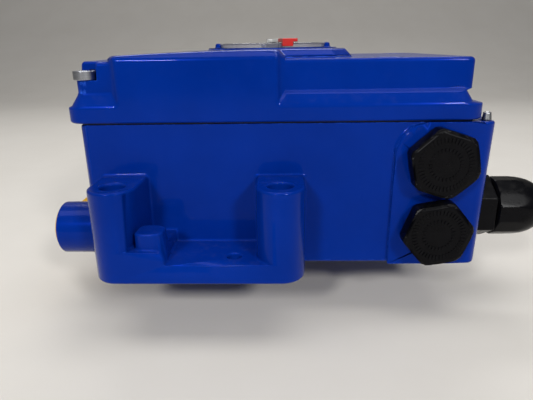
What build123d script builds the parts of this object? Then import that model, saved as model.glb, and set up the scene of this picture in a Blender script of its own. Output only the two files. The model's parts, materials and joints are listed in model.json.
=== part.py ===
from build123d import *
import math
import os

os.makedirs("parts", exist_ok=True)

# Rotary valve positioner, in millimetres.
# The origin is on the feedback shaft's axis at the mounting face under the housing.
# +Z points along the shaft to the indicator, +X to the cable gland, -Y to the lug foot.

# Housing casting
left_reach = 73.7
right_reach = 82.6
half_depth = 46.0
housing_height = 57.4
wall = 4.0
floor_thickness = 5.0
right_wall = 13.0
corner_radius = 4.0
cavity_radius = 3.0
bottom_edge = 1.2
spigot_radius = 16.0
spigot_height = 4.0
hub_radius = 10.5
hub_height = 15.0

# Lug foot in front of the housing
lug_from_axis = 3.2
lug_pitch = 61.0
lug_radius = 9.0
lug_offset = 14.5
lug_hole = 9.0
lug_height = 33.2
foot_bottom = 4.2
plate_thickness = 6.9
pad_length = 18.5
pad_step = 5.2
tab_width = 9.0
tab_depth = 10.0
tab_step = 7.0
tab_from_lug = 10.0
tab_inset = 2.5
tab_corner = 3.0
plate_hole = 5.0
plate_hole_from_lug = 17.6

# Tapped holes in the mounting face
base_pitch = 50.0
base_thread = 6.8
base_thread_depth = 10.0
base_boss_radius = 7.0
base_boss_height = 13.0

# Air ports on the left side
port_radius = 5.7
port_height = 11.4
port_from_front = 12.0
port_from_back = 14.0
port_boss_length = 16.3
port_passage = 4.0
port_passage_depth = 6.0
port_wall = 8.0
port_wall_height = 22.0
port_clearance = 0.15
cap_flange_radius = 9.4
cap_flange = 0.8
cap_body_depth = 4.0
cone_nose_radius = 3.0
cone_straight = 14.0
cone_length = 20.0
vent_length = 9.0
vent_core_radius = 5.5
vent_slots = 4

# Cable entries
entry_from_end = 20.6
entry_share = 17.6 / 57.4
entry_pitch_share = 27.6 / 57.4
entry_clearance = 0.1
entry_margin = 3.3
entry_pad = 1.6
entry_bore_depth = 14.0
gland_from_front = 20.0
side_entry_share = 57.0 / 92.0
side_entry_drop = 18.4
plug_gap = 3.6
plug_head = 10.6
plug_chamfer = 1.0
plug_turns = [-12.0, 5.0]
plug_thread_length = 9.0
plug_wall = 3.0
washer_thickness = 1.2
gland_hex_length = 7.0
gland_neck_wall = 2.2
gland_neck_length = 9.0
gland_nut_gap = 0.6
gland_nut_length = 24.0
gland_nut_sides = 12
gland_lip = 5.0
gland_dome = 8.0
gland_exit_share = 0.325
gland_seal_share = 0.25
gland_seal_length = 14.0
gland_clearance = 0.1

# Cover casting
gasket_gap = 1.8
side_overhang = 2.0
left_overhang = 2.5
right_ledge = 7.4
skirt_height = 6.2
skirt_corner = 6.0
slope_height = 3.6
slope_inset = 3.0
block_height_above = 11.4
cover_wall = 3.0
roof_thickness = 3.6
edge_round = 1.6
panel_left = 56.7
panel_right = 2.2
panel_rise = 0.9
hump_rise = 2.5
hump_right = 31.0
hump_from_wall = 8.0
hump_corner = 7.0
crown_drop = 1.5
pad_radius = 28.5
pad_rise = 0.4
gasket_width = 3.0
gasket_inset = 0.5

# Cover screws
screw_inset = 3.8
right_front_screw_from_end = 38.6
right_screw_from_end = 9.0
pocket_margin = 2.5
screw_radius = 2.5
screw_tap_radius = 2.1
screw_clearance = 0.3
head_radius = 4.25
head_height = 3.3
head_socket = 4.0
screw_seat_rise = 4.9
screw_reach = 30.0
screw_boss_radius = 5.2
screw_boss_floor = 2.0
screw_tip_gap = 0.8
notch_reach = 5.3
pocket_radius = 5.0

# Locking screw on the ledge beside the cover
lock_head_base = 1.8
lock_head_top = 1.4
lock_head_height = 3.0
lock_thread = 1.2
lock_depth = 8.0
lock_from_end = 3.4
lock_from_front = 4.6
lock_socket = 1.5

# Indicator on the cover
window_radius = 23.2
window_thickness = 2.0
window_hole = 7.5
guard_width = 2.2
guard_half_angle = 14.0
guard_height = 2.1
guard_clearance = 0.2
pointer_overhang = 3.8
pointer_width = 4.4
pointer_thickness = 1.3
pointer_hub = 6.0
pointer_gap = 0.3
pointer_tab = 2.0
pointer_tab_drop = 3.0
pointer_hook = 1.8
pointer_angle = 9.0
pointer_screw_radius = 1.5
pointer_screw_head = 2.8

# Feedback shaft and its bearings
shaft_radius = 5.0
shaft_drop = 14.0
tang_length = 6.0
coupling_radius = 4.0
tang_radius = 3.6
coupling_length = 12.0
tang_thickness = 4.0
clip_radius = 8.0
clip_thickness = 1.0
clip_gap = 0.2
collar_radius = 7.0
collar_height = 2.0
spindle_radius = 3.0
running_clearance = 0.05
bush_wall = 2.0
bush_flange = 1.5
seal_thickness = 1.8
seal_radius = 9.0
upper_boss_radius = 9.0
upper_bush_length = 8.0
upper_seal_thickness = 2.0

# Feedback gears and potentiometer
gear_module = 1.0
gear_teeth = 44
pinion_teeth = 16
gear_level = 23.0
gear_thickness = 4.0
gear_backlash = 0.12
gear_hub_radius = 8.0
gear_hub_height = 5.0
pot_radius = 9.5
pot_height = 10.0
pot_shaft_radius = 3.0
pot_shaft_depth = 6.0
pot_neck_wall = 1.5
pot_neck_height = 3.0
bracket_thickness = 1.5
bracket_half_length = 17.0
bracket_level = 18.0
pillar_radius = 3.5
small_screw_radius = 1.5
small_head_radius = 2.8
small_head_height = 1.8

# Electronics
board_thickness = 1.6
board_left = 34.0
board_from_end = 22.6
board_from_side = 12.0
board_hole_radius = 9.0
standoff_radius = 3.0
pillar_above_boss = 7.0
standoff_inset = 4.0
standoff_stud = 8.0
standoff_tap = 10.0
display_width = 40.0
display_depth = 18.0
display_gap = 0.4
display_frame = 2.0
terminal_poles = 6
terminal_share = 0.64
terminal_depth = 9.0
terminal_height = 11.0
button_count = 4
button_pitch = 13.0
button_radius = 3.2
button_flange_radius = 4.4
button_flange = 1.0
button_travel = 0.8
button_from_edge = 9.0
switch_size = 6.0
switch_height = 4.0
button_clearance = 0.3
shield_rise = 2.6
shield_above_board = 16.0
shield_thickness = 1.6
shield_rim = 6.0
shield_hole_radius = 6.0
shield_post_radius = 3.5

# Pilot valve block
block_width = 27.0
block_height = 24.0
block_gasket = 0.5
sleeve_radius = 7.0
sleeve_inset = 4.0
sleeve_groove_share = 0.2
sleeve_groove = 4.0
sleeve_groove_depth = 1.0
spool_radius = 4.0
spool_share = 0.63
spool_travel = 1.5
spool_groove = 2.6
land_length = 6.0
valve_height = 19.0
end_cap_radius = 9.5
end_cap_thickness = 3.0
block_screw_radius = 2.0
block_head_radius = 3.5
block_head_height = 3.5
coil_radius = 8.0
coil_height = 10.0
coil_y = 14.0
core_radius = 3.0
yoke_thickness = 2.0
yoke_width = 12.0
nozzle_radius = 2.5
nozzle_y = -6.0
flapper_length = 36.0
flapper_width = 8.0
flapper_thickness = 1.0
flapper_gap = 0.8
pivot_radius = 0.8
ear_drop = 1.5

# Levels and places that follow from the sizes above
wall_front = -half_depth
wall_left = -left_reach
inner_left = wall_left + wall
inner_right = right_reach - right_wall
inner_depth = half_depth - wall
board_right = inner_right - board_from_end
board_half_depth = inner_depth - board_from_side
button_y = board_half_depth - button_from_edge
terminal_pitch = terminal_share * board_half_depth / 3
shield_level = housing_height + shield_rise
board_level = shield_level - shield_above_board
skirt_bottom = housing_height + gasket_gap
skirt_top = skirt_bottom + skirt_height
block_bottom = skirt_top + slope_height
block_top = block_bottom + block_height_above
panel_top = block_top + panel_rise
hump_top = panel_top + hump_rise
hump_half_depth = half_depth - hump_from_wall
screw_seat = block_bottom + screw_seat_rise
cover_left = wall_left - left_overhang
cover_right = right_reach - right_ledge
cover_depth = half_depth + side_overhang
block_left = cover_left + slope_inset
block_right = cover_right - slope_inset
block_depth = cover_depth - slope_inset
lug_y = wall_front - lug_offset
plate_top = foot_bottom + plate_thickness
lug_top = foot_bottom + lug_height
lug_left = lug_from_axis - lug_pitch
lug_positions = [lug_left, lug_from_axis]
port_count = 4
port_pitch = (2 * half_depth - port_from_front - port_from_back) / (port_count - 1)
port_boss_radius = 0.5 * port_pitch
cone_base_radius = 0.345 * port_pitch
vent_radius = 0.364 * port_pitch
port_y = [wall_front + port_from_front + i * port_pitch for i in range(port_count)]
entry_x = right_reach - entry_from_end
entry_low = entry_share * housing_height
entry_pitch = entry_pitch_share * housing_height
entry_levels = [entry_low, entry_low + entry_pitch]
hex_flats = entry_pitch - plug_gap
entry_thread = hex_flats / 1.2
entry_boss_radius = hex_flats / 2 + entry_margin
plug_hollow_radius = entry_thread / 2 - plug_wall
washer_radius = hex_flats / 2 - 0.4
gland_neck_radius = entry_thread / 2 - 0.4
gland_bore_radius = gland_neck_radius - gland_neck_wall
gland_nut_radius = hex_flats / 2 + 0.4
gland_exit_radius = gland_exit_share * entry_thread
gland_seal_bore = gland_seal_share * entry_thread
gland_y = wall_front + gland_from_front
side_entry_y = wall_front + side_entry_share * 2 * half_depth
side_entry_height = housing_height - side_entry_drop
pad_top = hump_top + pad_rise
window_top = pad_top + window_thickness
pointer_bottom = window_top + pointer_gap
pointer_reach = window_radius + pointer_overhang
left_screw_x = wall_left + screw_inset
screw_y = half_depth - screw_inset
pocket_y = block_depth - pocket_radius - pocket_margin
lock_x = right_reach - lock_from_end
lock_y = wall_front - entry_pad + lock_from_front
screw_places = [
    (left_screw_x, -screw_y),
    (left_screw_x, screw_y),
    (right_reach - right_front_screw_from_end, -pocket_y),
    (block_right - right_screw_from_end, pocket_y),
]
screw_tip = screw_seat - screw_reach
gear_top = gear_level + gear_thickness
gear_radius = gear_module * gear_teeth / 2
pinion_radius = gear_module * pinion_teeth / 2
pot_x = gear_radius + pinion_radius
board_top = board_level + board_thickness
pillar_top = base_boss_height + pillar_above_boss
port_face = inner_left + port_wall
valve_block_left = port_face + block_gasket
valve_block_right = valve_block_left + block_width
valve_block_depth = inner_depth - cavity_radius
sleeve_length = 2 * (valve_block_depth - sleeve_inset)
spool_length = spool_share * sleeve_length
block_level = floor_thickness + block_height
valve_x = (valve_block_left + valve_block_right) / 2
bush_radius = shaft_radius + running_clearance + bush_wall
upper_bush_radius = spindle_radius + running_clearance + bush_wall


def block(x0, x1, y0, y1, z0, z1):
    size = Box(x1 - x0, y1 - y0, z1 - z0)
    return Pos((x0 + x1) / 2, (y0 + y1) / 2, (z0 + z1) / 2) * size


def rod(x, y, z0, z1, radius):
    return Pos(x, y, (z0 + z1) / 2) * Cylinder(radius, z1 - z0)


def rod_x(x0, x1, y, z, radius):
    return Pos((x0 + x1) / 2, y, z) * Rot(0, 90, 0) * Cylinder(radius, x1 - x0)


def rod_y(x, y0, y1, z, radius):
    return Pos(x, (y0 + y1) / 2, z) * Rot(90, 0, 0) * Cylinder(radius, y1 - y0)


def rounded_block(x0, x1, y0, y1, z0, z1, radius):
    plan = RectangleRounded(x1 - x0, y1 - y0, radius)
    return extrude(Pos((x0 + x1) / 2, (y0 + y1) / 2, z0) * plan, amount=z1 - z0)


def hexagon(flats):
    return RegularPolygon(flats / 2, 6, major_radius=False, rotation=30)


def entry_spots():
    return [(entry_x, level) for level in entry_levels]


# Housing: walls, floor, lug foot, port boss and entry panel in one casting
def housing_shell():
    outer = outline_block()
    outer = fillet(outer.faces().sort_by(Axis.Z)[0].edges(), bottom_edge)
    panel_left_edge = entry_x - entry_boss_radius
    panel = block(panel_left_edge, right_reach, wall_front - entry_pad, 0, 0, housing_height)
    panel = fillet(panel.edges().filter_by(Axis.Z).group_by(Axis.X)[-1].sort_by(Axis.Y)[0], corner_radius)
    round_edge = panel.edges().filter_by(Axis.Y).group_by(Axis.X)[0].sort_by(Axis.Z)[-1]
    panel = fillet(round_edge, housing_height - entry_levels[1])
    return outer + panel


def outline_block():
    return rounded_block(wall_left, right_reach, wall_front, half_depth, 0, housing_height, corner_radius)


def lug_foot():
    foot = block(lug_left, lug_from_axis, lug_y - lug_radius, wall_front + wall, foot_bottom, plate_top)
    for x in lug_positions:
        foot += rod(x, lug_y, foot_bottom, lug_top, lug_radius)
        foot += block(x - lug_radius, x + lug_radius, lug_y, wall_front + wall, foot_bottom, lug_top)
    pad_right = lug_left + pad_length
    foot += block(lug_left, pad_right, lug_y - lug_radius, wall_front + wall, foot_bottom, plate_top + pad_step)
    tab_x = lug_left + tab_from_lug
    tab_y = lug_y - lug_radius + tab_inset
    tab_top = plate_top + pad_step + tab_step
    foot += rounded_block(tab_x, tab_x + tab_width, tab_y, tab_y + tab_depth, foot_bottom, tab_top, tab_corner)
    return foot


def foot_holes():
    plate_hole_x = lug_from_axis - plate_hole_from_lug
    holes = Pos(plate_hole_x, lug_y, plate_top) * Cylinder(plate_hole / 2, 3 * plate_thickness)
    for x in lug_positions:
        holes += rod(x, lug_y, 0, housing_height, lug_hole / 2)
    return holes


def make_housing():
    body = housing_shell() + lug_foot()
    body += rod(0, 0, -spigot_height, floor_thickness, spigot_radius)
    body += rod_x(wall_left - port_boss_length, wall_left + wall, port_y[0], port_height, port_boss_radius)
    cavity = rounded_block(
        inner_left, inner_right, -inner_depth, inner_depth, floor_thickness, housing_height + 1, cavity_radius
    )
    body -= cavity
    body += rod(0, 0, 0, hub_height, hub_radius)
    body += block(
        wall_left + corner_radius, port_face, -valve_block_depth, valve_block_depth, 1, port_wall_height
    )
    for x, y in base_spots():
        body += rod(x, y, 0, base_boss_height, base_boss_radius)
    for x, y in screw_places:
        boss = rod(x, y, screw_tip - screw_tip_gap - screw_boss_floor, housing_height, screw_boss_radius)
        side = 1 if y > 0 else -1
        web = block(x - screw_boss_radius, x + screw_boss_radius, min(y, side * inner_depth),
                    max(y, side * inner_depth), screw_tip - screw_tip_gap - screw_boss_floor, housing_height)
        body += (boss + web) & outline_block()
    for x, y in standoff_spots():
        body += rod(x, y, floor_thickness, pillar_top, pillar_radius)
    for x, y in bracket_spots():
        body += rod(x, y, floor_thickness, bracket_level, pillar_radius)
    return cut_housing(body)


def cut_housing(body):
    body -= foot_holes()
    body -= rod(0, 0, -spigot_height, hub_height, bush_radius)
    body -= rod(0, 0, -spigot_height, -spigot_height + seal_thickness + 1, seal_radius)
    for x, y in base_spots():
        body -= rod(x, y, 0, base_thread_depth, base_thread / 2)
    for x, y in screw_places:
        body -= rod(x, y, screw_tip - screw_tip_gap, housing_height, screw_tap_radius)
    for x, y in standoff_spots():
        body -= rod(x, y, floor_thickness + 3, pillar_top, small_screw_radius)
    for x, y in bracket_spots():
        body -= rod(x, y, floor_thickness + 3, bracket_level, small_screw_radius)
    for x, y in block_screw_spots():
        body -= rod(x, y, 1.5, floor_thickness, block_screw_radius)
    body -= rod(lock_x, lock_y, housing_height - lock_depth, housing_height, lock_thread)
    for i, y in enumerate(port_y):
        reach = port_boss_length if i == 0 else 0
        body -= rod_x(wall_left - reach, port_face - 1, y, port_height, port_radius)
        body -= rod_x(wall_left, port_face, y, port_height, port_passage)
    for x, level in entry_spots():
        body -= rod_y(x, wall_front - entry_pad, wall_front + entry_bore_depth, level, entry_thread / 2)
    for y, level in [(gland_y, entry_low), (side_entry_y, side_entry_height)]:
        body -= rod_x(inner_right - 1, right_reach, y, level, entry_thread / 2)
    return body


def base_spots():
    half = base_pitch / 2
    return [(x, y) for x in (-half, half) for y in (-half, half)]


def standoff_spots():
    x0 = -board_left + standoff_inset
    x1 = board_right - standoff_inset
    y = board_half_depth - standoff_inset
    return [(x0, -y), (x0, y), (x1, -y), (x1, y)]


def bracket_spots():
    y = bracket_half_length - pillar_radius
    return [(pot_x + pot_radius - 2, -y), (pot_x + pot_radius - 2, y)]


def block_screw_spots():
    mid = (port_y[0] + port_y[1]) / 2
    rear = (port_y[2] + port_y[3]) / 2
    near = valve_block_right - block_screw_radius - 1.9
    far = valve_block_left + block_screw_radius + 1.9
    edge = valve_block_depth - block_head_radius - 2.5
    return [(far, mid), (far, rear), (near, -edge), (near, edge)]


# Cover: skirt, slope, upper block, raised front and back panel, crowned hump
def hump_solid():
    step = slope_inset
    plan = Polyline(
        (-panel_left - step, -block_depth),
        (-panel_left, -cover_depth),
        (panel_right, -cover_depth),
        (panel_right + step, -block_depth),
        (panel_right + step, block_depth),
        (panel_right, cover_depth),
        (-panel_left, cover_depth),
        (-panel_left - step, block_depth),
        close=True,
    )
    panel = extrude(Pos(0, 0, skirt_bottom) * make_face(plan), amount=panel_top - skirt_bottom)
    crest = extrude(Pos(0, 0, panel_top) * make_face(plan), amount=hump_top - panel_top, taper=45)
    wing_plan = chamfer(Rectangle(2 * hump_right, 2 * hump_half_depth).vertices(), hump_corner)
    wing = extrude(Pos(0, 0, block_top - 1) * wing_plan, amount=panel_top - block_top + 1)
    wing += extrude(Pos(0, 0, panel_top) * wing_plan, amount=hump_top - panel_top, taper=45)
    return (panel + crest + wing) & crown()


def crown():
    low = hump_top - crown_drop
    end = -panel_left - slope_inset
    edge = ThreePointArc((end, low), (end / 2, hump_top - crown_drop / 4), (0, hump_top))
    outline = edge + Polyline((0, hump_top), (cover_right, hump_top), (cover_right, 0), (end, 0), (end, low))
    side = Plane.XZ * make_face(outline)
    return extrude(side, amount=cover_depth, both=True)


def make_cover():
    skirt = rounded_block(
        cover_left, cover_right, -cover_depth, cover_depth, skirt_bottom, skirt_top, skirt_corner
    )
    plan = RectangleRounded(cover_right - cover_left, 2 * cover_depth, skirt_corner)
    middle = (cover_left + cover_right) / 2
    taper = math.degrees(math.atan2(slope_inset, slope_height))
    slope = extrude(Pos(middle, 0, skirt_top) * plan, amount=slope_height, taper=taper)
    upper = rounded_block(
        block_left, block_right, -block_depth, block_depth, block_bottom, block_top,
        skirt_corner - slope_inset,
    )
    upper = fillet(upper.faces().sort_by(Axis.Z)[-1].edges(), edge_round)
    shell = skirt + slope + upper + hump_solid()
    shell += rod(0, 0, block_top, pad_top, pad_radius)
    shell += guard_arcs()
    shell -= cover_hollow()
    shell += rod(0, 0, pad_top - upper_bush_length - upper_seal_thickness - 2, pad_top - 1, upper_boss_radius)
    for x, y in screw_places:
        boss = rod(x, y, skirt_bottom, block_top - 2, screw_boss_radius)
        shell += boss & rounded_block(
            block_left, block_right, -block_depth, block_depth, 0, block_top, skirt_corner - slope_inset
        )
    return cut_cover(shell)


def cover_hollow():
    low = rounded_block(
        block_left + cover_wall, block_right - cover_wall, cover_wall - block_depth, block_depth - cover_wall,
        skirt_bottom - 1, block_top - roof_thickness, 2.0,
    )
    high = block(
        -panel_left + 2, hump_right - slope_inset - 3, -hump_half_depth + 4, hump_half_depth - 4,
        skirt_bottom, hump_top - roof_thickness,
    )
    return low + high


def cut_cover(shell):
    for x, y in screw_places[:2]:
        side = 1 if y > 0 else -1
        inner = y - side * notch_reach
        outer = side * (cover_depth + 1)
        cut = block(cover_left - 1, x + notch_reach, min(inner, outer), max(inner, outer), screw_seat, hump_top)
        shell -= cut
    for x, y in screw_places[2:]:
        shell -= rod(x, y, screw_seat, hump_top, pocket_radius)
    for x, y in screw_places:
        shell -= rod(x, y, skirt_bottom, screw_seat, screw_radius + screw_clearance)
    shell -= rod(0, 0, skirt_bottom, pad_top + 1, spindle_radius + 0.5)
    shell -= rod(0, 0, skirt_bottom, pad_top - 1, upper_bush_radius)
    return shell


def guard_arcs():
    inner = window_radius + guard_clearance
    outer = inner + guard_width
    ring = rod(0, 0, pad_top - 1, pad_top + guard_height, outer)
    ring -= rod(0, 0, pad_top - 1, pad_top + guard_height, inner)
    half = outer * math.tan(math.radians(guard_half_angle))
    return ring & block(-outer, outer, -half, half, pad_top - 1, pad_top + guard_height)


def make_gasket():
    outer = rounded_block(
        wall_left + gasket_inset, cover_right - side_overhang - gasket_inset,
        wall_front + gasket_inset, half_depth - gasket_inset,
        housing_height, skirt_bottom, corner_radius,
    )
    inner = rounded_block(
        wall_left + gasket_inset + gasket_width, cover_right - side_overhang - gasket_inset - gasket_width,
        wall_front + gasket_inset + gasket_width, half_depth - gasket_inset - gasket_width,
        housing_height, skirt_bottom, corner_radius - 1,
    )
    gasket = outer - inner
    for x, y in screw_places:
        gasket += rod(x, y, housing_height, skirt_bottom, screw_boss_radius) & outer
    for x, y in screw_places:
        gasket -= rod(x, y, housing_height, skirt_bottom, screw_radius + screw_clearance)
    return gasket


def make_cover_screws():
    screws = []
    for x, y in screw_places:
        screw = rod(x, y, screw_seat, screw_seat + head_height, head_radius)
        screw += rod(x, y, screw_seat - screw_reach, screw_seat, screw_tap_radius)
        socket = Pos(x, y, screw_seat + head_height) * hexagon(head_socket)
        screw -= extrude(socket, amount=-head_height * 0.6)
        screws.append(screw)
    return Compound(children=screws)


def make_lock_screw():
    head_middle = housing_height + lock_head_height / 2
    head = Pos(lock_x, lock_y, head_middle) * Cone(lock_head_base, lock_head_top, lock_head_height)
    screw = head + rod(lock_x, lock_y, housing_height - lock_depth + 1, housing_height, lock_thread)
    socket = Pos(lock_x, lock_y, housing_height + lock_head_height) * hexagon(lock_socket)
    return screw - extrude(socket, amount=-lock_head_height / 2)


# Indicator: clear disc between two guard arcs, pointer on the spindle's end
def make_window():
    disc = rod(0, 0, pad_top, window_top, window_radius)
    disc = chamfer(disc.edges().sort_by(Axis.Z)[-1], 0.4)
    return disc - rod(0, 0, pad_top, window_top, window_hole / 2)


def make_pointer():
    top = pointer_bottom + pointer_thickness
    hub = rod(0, 0, pointer_bottom, top, pointer_hub)
    arm = block(-pointer_width / 2, pointer_width / 2, -pointer_reach, 0, pointer_bottom, top)
    tab_back = -pointer_reach + pointer_tab
    tab = block(-pointer_width / 2, pointer_width / 2, -pointer_reach, tab_back, top - pointer_tab_drop, top)
    hook = block(
        0, pointer_width / 2 + pointer_hook, -pointer_reach, tab_back + 2 * pointer_tab, pointer_bottom, top
    )
    pointer = hub + arm + tab + hook
    pointer -= rod(0, 0, pointer_bottom, top, pointer_screw_radius + 0.1)
    return Rot(0, 0, pointer_angle) * pointer


def make_pointer_screw():
    top = pointer_bottom + pointer_thickness
    screw = rod(0, 0, top, top + 1.2, pointer_screw_head)
    screw += rod(0, 0, top - 6, top, pointer_screw_radius)
    return screw - block(-pointer_screw_head, pointer_screw_head, -0.4, 0.4, top + 0.6, top + 2)


# Feedback shaft, bushes, seals and gears
def make_shaft():
    bush_top = hub_height + bush_flange
    collar_bottom = bush_top + 0.1
    tang_top = -spigot_height - shaft_drop
    shoulder = tang_top + coupling_length
    shaft = rod(0, 0, shoulder, gear_level, shaft_radius)
    shaft += rod(0, 0, tang_top, shoulder, coupling_radius)
    shaft += rod(0, 0, collar_bottom, collar_bottom + collar_height, collar_radius)
    shaft += rod(0, 0, gear_level, pointer_bottom, spindle_radius)
    tang = rod(0, 0, tang_top - tang_length, tang_top, tang_radius)
    half = tang_thickness / 2
    tang &= block(-shaft_radius, shaft_radius, -half, half, tang_top - tang_length, tang_top)
    shaft += tang
    return shaft - rod(0, 0, pointer_bottom - 6, pointer_bottom, pointer_screw_radius)


def ring(z0, z1, inner, outer):
    return rod(0, 0, z0, z1, outer) - rod(0, 0, z0, z1, inner)


def make_shaft_clip():
    top = -spigot_height - clip_gap
    return ring(top - clip_thickness, top, shaft_radius, clip_radius)


def make_lower_bush():
    bore = shaft_radius + running_clearance
    bottom = -spigot_height + seal_thickness + 1
    bush = rod(0, 0, bottom, hub_height, bush_radius)
    bush += rod(0, 0, hub_height, hub_height + bush_flange, hub_radius)
    return bush - rod(0, 0, bottom, hub_height + bush_flange, bore)


def make_upper_bush():
    top = pad_top - 1 - upper_seal_thickness
    return ring(top - upper_bush_length, top, spindle_radius + running_clearance, upper_bush_radius)


def gear(teeth, thickness, bore):
    pitch = gear_module * teeth / 2
    root = pitch - 1.2 * gear_module
    tip = pitch + 0.95 * gear_module
    half_root = 0.95 * gear_module
    half_tip = 0.38 * gear_module
    half_pitch = math.pi * gear_module / 4 - gear_backlash
    tooth = Polyline(
        (root - 0.6, -half_root), (root, -half_root), (pitch, -half_pitch), (tip, -half_tip),
        (tip, half_tip), (pitch, half_pitch), (root, half_root), (root - 0.6, half_root), close=True,
    )
    blank = Circle(root) + [Rot(0, 0, 360 * i / teeth) * make_face(tooth) for i in range(teeth)]
    return extrude(blank - Circle(bore), amount=thickness)


def gear_screw_level():
    return gear_top + gear_hub_height / 2


def make_main_gear():
    wheel = Pos(0, 0, gear_level) * gear(gear_teeth, gear_thickness, spindle_radius)
    hub = ring(gear_top, gear_top + gear_hub_height, spindle_radius, gear_hub_radius)
    wheel += hub
    wheel -= rod_x(0, gear_hub_radius + 1, 0, gear_screw_level(), small_screw_radius)
    spokes = 6
    for i in range(spokes):
        angle = math.radians(360 * (i + 0.5) / spokes)
        reach = (gear_radius + gear_hub_radius) / 2
        x = reach * math.cos(angle)
        y = reach * math.sin(angle)
        wheel -= rod(x, y, gear_level, gear_top, gear_radius / 6)
    return wheel


def make_gear_screw():
    level = gear_screw_level()
    return rod_x(spindle_radius, gear_hub_radius, 0, level, small_screw_radius)


def make_pinion():
    turn = 180 / pinion_teeth
    wheel = Rot(0, 0, turn) * gear(pinion_teeth, gear_thickness, pot_shaft_radius - 0.5)
    wheel = Pos(pot_x, 0, gear_level) * wheel
    shaft = rod(pot_x, 0, bracket_level - pot_shaft_depth, gear_top + 1.5, pot_shaft_radius)
    return wheel + shaft


def make_potentiometer():
    top = bracket_level
    can = rod(pot_x, 0, top - pot_height, top, pot_radius)
    neck = rod(pot_x, 0, top, top + pot_neck_height, pot_shaft_radius + pot_neck_wall)
    lugs = block(pot_x + pot_radius - 1, pot_x + pot_radius + 5, -5, 5, top - 7, top - 6)
    bore = rod(
        pot_x, 0, top - pot_shaft_depth - 0.3, top + pot_neck_height, pot_shaft_radius + running_clearance
    )
    return can + neck + lugs - bore


def make_pot_bracket():
    bottom = bracket_level
    top = bracket_level + bracket_thickness
    far = pot_x + pot_radius + 2
    plate = rounded_block(
        pot_x - 6, far, -bracket_half_length, bracket_half_length, bottom, top, 2.0
    )
    plate -= rod(pot_x, 0, bottom, top, pot_shaft_radius + pot_neck_wall)
    for x, y in bracket_spots():
        plate -= rod(x, y, bottom, top, small_screw_radius)
    return plate


def pan_screw(x, y, seat, reach, radius=small_screw_radius, head=small_head_radius, height=small_head_height):
    screw = rod(x, y, seat, seat + height, head) + rod(x, y, seat - reach, seat, radius)
    slot = block(x - head, x + head, y - 0.4, y + 0.4, seat + height * 0.5, seat + height)
    return screw - slot


def make_bracket_screws():
    seat = bracket_level + bracket_thickness
    return Compound(children=[pan_screw(x, y, seat, 8) for x, y in bracket_spots()])


# Electronics: board on standoffs, display, terminals, buttons and their shield
def make_board():
    board = rounded_block(
        -board_left, board_right, -board_half_depth, board_half_depth, board_level, board_top, 2.0
    )
    board -= rod(0, 0, board_level, board_top, board_hole_radius)
    for x, y in standoff_spots():
        board -= rod(x, y, board_level, board_top, small_screw_radius)
    return board


def make_standoffs():
    posts = []
    for x, y in standoff_spots():
        plan = Pos(x, y, pillar_top) * hexagon(2 * standoff_radius)
        post = extrude(plan, amount=board_level - pillar_top)
        post += rod(x, y, pillar_top - standoff_stud, pillar_top, small_screw_radius)
        post -= rod(x, y, board_level - standoff_tap, board_level, small_screw_radius)
        posts.append(post)
    return Compound(children=posts)


def make_board_screws():
    seat = shield_level + shield_thickness
    reach = seat - board_level + 8
    return Compound(children=[pan_screw(x, y, seat, reach) for x, y in standoff_spots()])


def display_place():
    x = -board_left + standoff_inset + pillar_radius + 6
    y = -board_half_depth + 2
    return x, y


def make_display():
    x, y = display_place()
    top = shield_level - display_gap
    case = block(x, x + display_width, y, y + display_depth, board_top, top)
    glass = block(
        x + display_frame, x + display_width - display_frame, y + display_frame,
        y + display_depth - display_frame, top - 1, top,
    )
    return case - glass


def make_display_glass():
    x, y = display_place()
    top = shield_level - display_gap
    return block(
        x + display_frame, x + display_width - display_frame, y + display_frame,
        y + display_depth - display_frame, top - 1, top - 0.2,
    )


def terminal_places():
    x = board_right - terminal_depth / 2 - 0.5
    start = -terminal_pitch * (terminal_poles - 1) / 2
    return [(x, start + i * terminal_pitch) for i in range(terminal_poles)]


def make_terminal_block():
    places = terminal_places()
    x = places[0][0]
    half = terminal_poles * terminal_pitch / 2
    low = board_top
    high = board_top + terminal_height
    body = block(x - terminal_depth / 2, x + terminal_depth / 2, -half, half, low, high)
    body -= block(x - terminal_depth / 2, x - 2.2, -half, half, high - 4, high)
    for px, py in places:
        body -= rod(px + 1.2, py, high - 3, high, 2.1)
        entry = block(px + terminal_depth / 2 - 4, px + terminal_depth / 2, py - 2, py + 2, low + 2, low + 6)
        body -= entry
    return body


def make_terminal_screws():
    seat = board_top + terminal_height - 3
    screws = []
    for x, y in terminal_places():
        screw = rod(x + 1.2, y, seat, seat + 2.2, 1.9)
        screw -= block(x - 1, x + 3.4, y - 0.35, y + 0.35, seat + 1.2, seat + 2.2)
        screws.append(screw)
    return Compound(children=screws)


def button_spots():
    start = -button_pitch * (button_count - 1) / 2
    return [(start + i * button_pitch, button_y) for i in range(button_count)]


def button_base():
    return board_top + switch_height + button_travel + 0.1


def make_switches():
    half = switch_size / 2
    cases = []
    for x, y in button_spots():
        cases.append(block(x - half, x + half, y - half, y + half, board_top, board_top + switch_height))
    return Compound(children=cases)


def make_button(x, y):
    low = button_base()
    high = shield_level + shield_thickness + button_travel + 1.2
    cap = rod(x, y, low, high, button_radius)
    cap += rod(x, y, shield_level - 0.1 - button_flange, shield_level - 0.1, button_flange_radius)
    return fillet(cap.edges().sort_by(Axis.Z)[-1], 0.6)


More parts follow.
